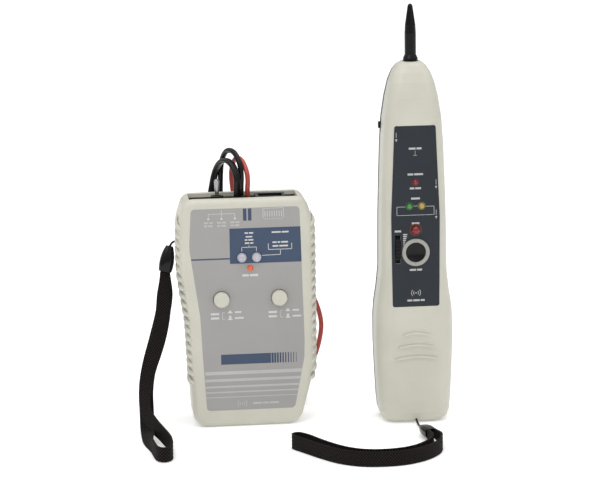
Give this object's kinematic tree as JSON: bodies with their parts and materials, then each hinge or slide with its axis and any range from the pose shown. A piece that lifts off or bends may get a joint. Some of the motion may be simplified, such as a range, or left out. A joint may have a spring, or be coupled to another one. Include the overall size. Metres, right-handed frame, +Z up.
{
  "type": "tone probe kit",
  "caption": "Cable tracing kit: a flat toner box with test leads, toggle, buttons and a network jack, and a slim tapered probe, each with a wrist strap.",
  "frame": {"origin": "middle of the toner's flat base", "axes": "+Z up, +X to the right and +Y to the back as seen from the labelled faces; the probe stands to the right of the toner"},
  "size_m": [0.1655, 0.1949, 0.222],
  "materials": {
    "cream_plastic": "satin",
    "black_plastic": "satin",
    "tip_plastic": "satin",
    "crimp_plastic": "gloss",
    "key_plastic": "satin",
    "wheel_plastic": "matt",
    "bezel_plastic": "satin",
    "plate_plastic": "matt",
    "grommet_rubber": "satin",
    "toner_label_film": "satin",
    "probe_label_film": "satin",
    "chrome": "polished",
    "nickel": "plated",
    "screw_steel": "plated",
    "contact_gold": "gold plated",
    "antenna_metal": "plain",
    "board_green": "solder resist",
    "battery_case": "satin",
    "snap_plastic": "matt",
    "speaker_metal": "plated",
    "white_lens": "gloss",
    "orange_lens": "gloss",
    "red_lens": "gloss",
    "green_lens": "gloss",
    "yellow_lens": "gloss",
    "black_cord": "satin",
    "red_cord": "satin",
    "webbing": "woven",
    "string": "braided",
    "clear_plastic": "clear"
  },
  "bodies": {
    "toner": {"toner_front_shell": "cream_plastic", "toner_rear_shell": "cream_plastic", "toner_front_label": "toner_label_film", "toner_connector_plate": "plate_plastic", "toner_battery": "battery_case", "toner_battery_snap": "snap_plastic", "toner_circuit_board": "board_green", "toner_mode_toggle_body": "nickel", "toner_mode_toggle_nut": "black_plastic", "toner_network_jack": "black_plastic", "toner_network_jack_contacts": "contact_gold", "toner_lead_grommet": "grommet_rubber", "toner_button_switches": "black_plastic", "toner_line_leds": "white_lens", "toner_low_battery_led": "orange_lens", "toner_case_screws": "screw_steel", "toner_strap_string": "string", "toner_strap_crimp": "crimp_plastic", "toner_strap_band": "webbing", "black_test_lead": "black_cord", "red_test_lead": "red_cord", "telephone_lead": "black_cord", "black_clip_fixed_jaw": "nickel", "red_clip_fixed_jaw": "nickel", "clip_pivot_pins": "nickel", "telephone_plug": "clear_plastic", "telephone_plug_contacts": "contact_gold"},
    "toner_door": {"toner_battery_door": "cream_plastic"},
    "toner_toggle": {"toner_mode_toggle_lever": "chrome"},
    "talk_button": {"toner_talk_button": "cream_plastic"},
    "tone_button": {"toner_tone_button": "cream_plastic"},
    "black_clip_jaw": {"black_clip_moving_jaw": "nickel"},
    "red_clip_jaw": {"red_clip_moving_jaw": "nickel"},
    "plug_latch": {"telephone_plug_latch": "clear_plastic"},
    "probe": {"probe_front_shell": "cream_plastic", "probe_rear_shell": "black_plastic", "probe_front_label": "probe_label_film", "probe_tip": "tip_plastic", "probe_antenna_rod": "antenna_metal", "probe_battery": "battery_case", "probe_battery_snap": "snap_plastic", "probe_circuit_board": "board_green", "probe_speaker": "speaker_metal", "probe_trace_bezel": "bezel_plastic", "probe_trace_switch": "black_plastic", "probe_volume_control": "black_plastic", "probe_red_leds": "red_lens", "probe_normal_led": "green_lens", "probe_reverse_led": "yellow_lens", "probe_mode_switch_body": "black_plastic", "probe_earphone_jack": "black_plastic", "probe_telephone_jack": "black_plastic", "probe_case_screws": "screw_steel", "probe_strap_string": "string", "probe_strap_crimp": "crimp_plastic", "probe_strap_band": "webbing"},
    "probe_door": {"probe_battery_door": "black_plastic"},
    "trace_button": {"probe_trace_button": "key_plastic"},
    "volume_wheel": {"probe_volume_wheel": "wheel_plastic"},
    "mode_knob": {"probe_mode_switch_knob": "black_plastic"}
  },
  "joints": [
    {"name": "probe_lift", "type": "slide", "parent": "toner", "child": "probe", "axis": [0, 0, 1], "range_m": [0, 0.25]},
    {"name": "toner_door_swing", "type": "hinge", "parent": "toner", "child": "toner_door", "pos_m": [0, 0.014, 0.0063], "axis": [-1, 0, 0], "range_deg": [0, 60]},
    {"name": "toggle_tilt", "type": "hinge", "parent": "toner", "child": "toner_toggle", "pos_m": [-0.0138, -0.001, 0.119], "axis": [0, 1, 0], "range_deg": [-12, 12]},
    {"name": "talk_press", "type": "slide", "parent": "toner", "child": "talk_button", "axis": [0, 1, 0], "range_m": [0, 0.0025]},
    {"name": "tone_press", "type": "slide", "parent": "toner", "child": "tone_button", "axis": [0, 1, 0], "range_m": [0, 0.0025]},
    {"name": "black_clip_open", "type": "hinge", "parent": "toner", "child": "black_clip_jaw", "pos_m": [-0.006, 0.0718, 0.0046], "axis": [1, 0, 0], "range_deg": [0, 18], "stiffness_Nm_per_rad": 0.05, "springref_deg": -17.19},
    {"name": "red_clip_open", "type": "hinge", "parent": "toner", "child": "red_clip_jaw", "pos_m": [0.033, 0.0578, 0.0046], "axis": [1, 0, 0], "range_deg": [0, 18], "stiffness_Nm_per_rad": 0.05, "springref_deg": -17.19},
    {"name": "latch_flex", "type": "hinge", "parent": "toner", "child": "plug_latch", "pos_m": [-0.016, 0.0723, 0.0059], "axis": [1, 0, 0], "range_deg": [0, 12], "stiffness_Nm_per_rad": 0.02},
    {"name": "probe_door_swing", "type": "hinge", "parent": "probe", "child": "probe_door", "pos_m": [0.0883, 0.0055, 0.0128], "axis": [-1, 0, 0], "range_deg": [0, 60]},
    {"name": "trace_press", "type": "slide", "parent": "probe", "child": "trace_button", "axis": [0, 1, 0], "range_m": [0, 0.0012], "stiffness_N_per_m": 300},
    {"name": "volume_turn", "type": "hinge", "parent": "probe", "child": "volume_wheel", "pos_m": [0.0789, -0.0151, 0.0946], "axis": [1, 0, 0], "range_deg": [-135, 135]},
    {"name": "mode_slide", "type": "slide", "parent": "probe", "child": "mode_knob", "axis": [0, 0, 1], "range_m": [-0.002, 0.002]}
  ]
}
